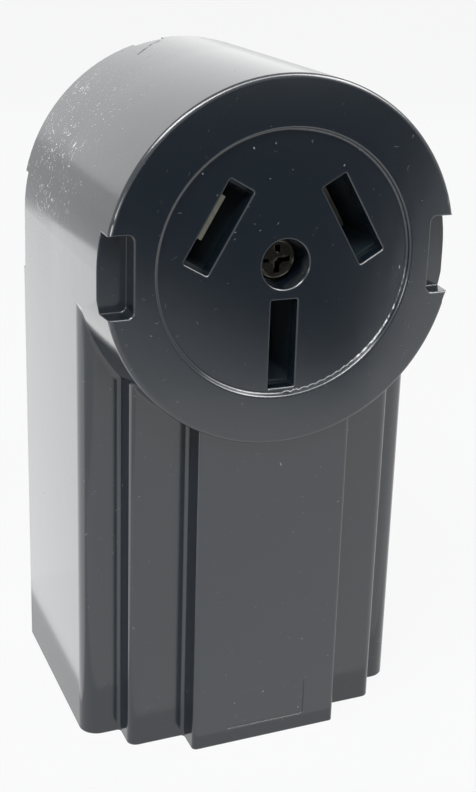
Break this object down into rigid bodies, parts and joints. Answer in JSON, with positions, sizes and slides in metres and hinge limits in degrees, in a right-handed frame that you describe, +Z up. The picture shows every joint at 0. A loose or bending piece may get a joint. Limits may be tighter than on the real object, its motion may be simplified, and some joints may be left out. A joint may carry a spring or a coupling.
{
  "type": "surface mount receptacle",
  "caption": "Upright surface mount power receptacle with a round slotted face, stepped lower front, inner terminals and a steel back plate.",
  "frame": {"origin": "under the middle of the case, on the surface that its lower end stands on", "axes": "+Z up, +Y towards the wall, so the slots face -Y, and +X to the right of someone facing them"},
  "size_m": [0.0734, 0.0614, 0.143],
  "materials": {
    "black_moulding": "glossy black moulded thermoset with fine scratches and dust specks",
    "brown_phenolic": "satin dark brown phenolic moulding",
    "contact_brass": "rolled brass sheet, slightly dulled",
    "spring_steel": "blued spring steel strip",
    "tin_plated_lug": "extruded aluminium, tin plated, satin",
    "bright_screw_steel": "cold headed steel, bright zinc plated",
    "zinc_plated_steel": "cold rolled sheet, bright zinc plated",
    "fibre_sheet": "grey vulcanised fibre"
  },
  "bodies": {
    "root": {"cover": "black_moulding", "cover_screw": "bright_screw_steel", "contact_housing": "brown_phenolic", "threaded_insert": "contact_brass", "terminal_base": "brown_phenolic", "insulator_sheet": "fibre_sheet", "mounting_plate": "zinc_plated_steel", "cable_clamp": "zinc_plated_steel", "clamp_screw_left": "bright_screw_steel", "clamp_screw_right": "bright_screw_steel", "contact_line_left": "contact_brass", "contact_spring_line_left": "spring_steel", "terminal_lug_line_left": "tin_plated_lug", "lug_screw_line_left": "bright_screw_steel", "contact_line_right": "contact_brass", "contact_spring_line_right": "spring_steel", "terminal_lug_line_right": "tin_plated_lug", "lug_screw_line_right": "bright_screw_steel", "contact_neutral": "contact_brass", "contact_spring_neutral": "spring_steel", "terminal_lug_neutral": "tin_plated_lug", "lug_screw_neutral": "bright_screw_steel", "housing_screw_top": "bright_screw_steel", "base_screw_top": "bright_screw_steel", "housing_screw_left": "bright_screw_steel", "base_screw_left": "bright_screw_steel", "housing_screw_right": "bright_screw_steel", "base_screw_right": "bright_screw_steel"}
  },
  "joints": []
}
